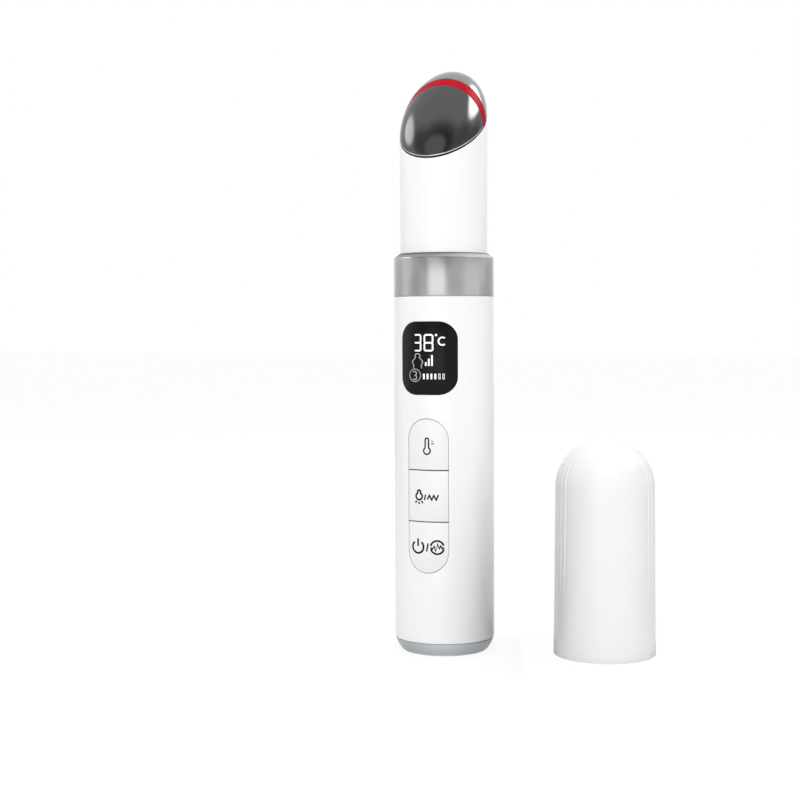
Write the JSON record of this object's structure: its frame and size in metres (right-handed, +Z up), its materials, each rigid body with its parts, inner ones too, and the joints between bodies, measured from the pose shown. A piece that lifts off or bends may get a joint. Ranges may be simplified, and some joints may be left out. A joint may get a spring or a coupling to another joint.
{
  "type": "heated eye massager wand",
  "caption": "Heated eye massager wand: slanted polished head with a red light band, white neck, metal collar, handle with display and keys, and its cap standing beside it.",
  "frame": {"origin": "centre of the wand's flat foot, on the surface it stands on", "axes": "+Z up along the wand; -Y is the side with the display and the keys; +X to the right seen from that side, where the cap stands"},
  "size_m": [0.0697, 0.0353, 0.157],
  "materials": {
    "white_gloss": "gloss",
    "cap_white": "gloss",
    "key_white": "satin",
    "collar_metal": "satin",
    "base_metal": "satin",
    "window_black": "gloss",
    "light_guide": "matte",
    "dark_chrome": "polished",
    "silver_chrome": "polished",
    "red_lens": "gloss",
    "red_led": "gloss",
    "black_rubber": "matte",
    "frame_plastic": "matte",
    "board_green": "satin",
    "screw_steel": "satin",
    "switch_steel": "satin",
    "stem_black": "matte",
    "cell_wrap": "satin",
    "motor_steel": "satin",
    "weight_steel": "satin",
    "heater_copper": "satin",
    "bead_black": "gloss"
  },
  "bodies": {
    "wand": {"base_cap": "base_metal", "usb_socket": "switch_steel", "charge_board": "board_green", "charge_board_screws": "screw_steel", "handle_shell": "white_gloss", "inner_frame": "frame_plastic", "battery": "cell_wrap", "main_board": "board_green", "main_board_screws": "screw_steel", "display_module": "light_guide", "display_window": "window_black", "switch_temperature": "switch_steel", "switch_mode": "switch_steel", "switch_power": "switch_steel", "collar_ring": "collar_metal", "neck_tube": "white_gloss", "motor_holder": "frame_plastic", "motor_sleeve": "black_rubber", "motor_can": "motor_steel", "head_gasket": "black_rubber", "head_carrier": "frame_plastic", "led_board": "board_green", "red_leds": "red_led", "heater_film": "heater_copper", "thermistor": "bead_black", "contact_plate": "dark_chrome", "back_plate": "silver_chrome", "light_band": "red_lens"},
    "key_temperature_body": {"key_temperature": "key_white", "stem_temperature": "stem_black"},
    "key_mode_body": {"key_mode": "key_white", "stem_mode": "stem_black"},
    "key_power_body": {"key_power": "key_white", "stem_power": "stem_black"},
    "motor_rotor": {"motor_shaft": "motor_steel", "eccentric_weight": "weight_steel"},
    "cap": {"cap_shell": "cap_white"}
  },
  "joints": [
    {"name": "key_temperature_press", "type": "slide", "parent": "wand", "child": "key_temperature_body", "axis": [0, 1, 0], "range_m": [0, 0.0003], "stiffness_N_per_m": 3000},
    {"name": "key_mode_press", "type": "slide", "parent": "wand", "child": "key_mode_body", "axis": [0, 1, 0], "range_m": [0, 0.0003], "stiffness_N_per_m": 3000},
    {"name": "key_power_press", "type": "slide", "parent": "wand", "child": "key_power_body", "axis": [0, 1, 0], "range_m": [0, 0.0003], "stiffness_N_per_m": 3000},
    {"name": "motor_spin", "type": "hinge", "parent": "wand", "child": "motor_rotor", "pos_m": [0, 0, 0.12], "axis": [0, 0, 1], "continuous": true},
    {"name": "cap_lift", "type": "slide", "parent": "wand", "child": "cap", "axis": [0, 0, 1], "range_m": [0, 0.12]}
  ]
}
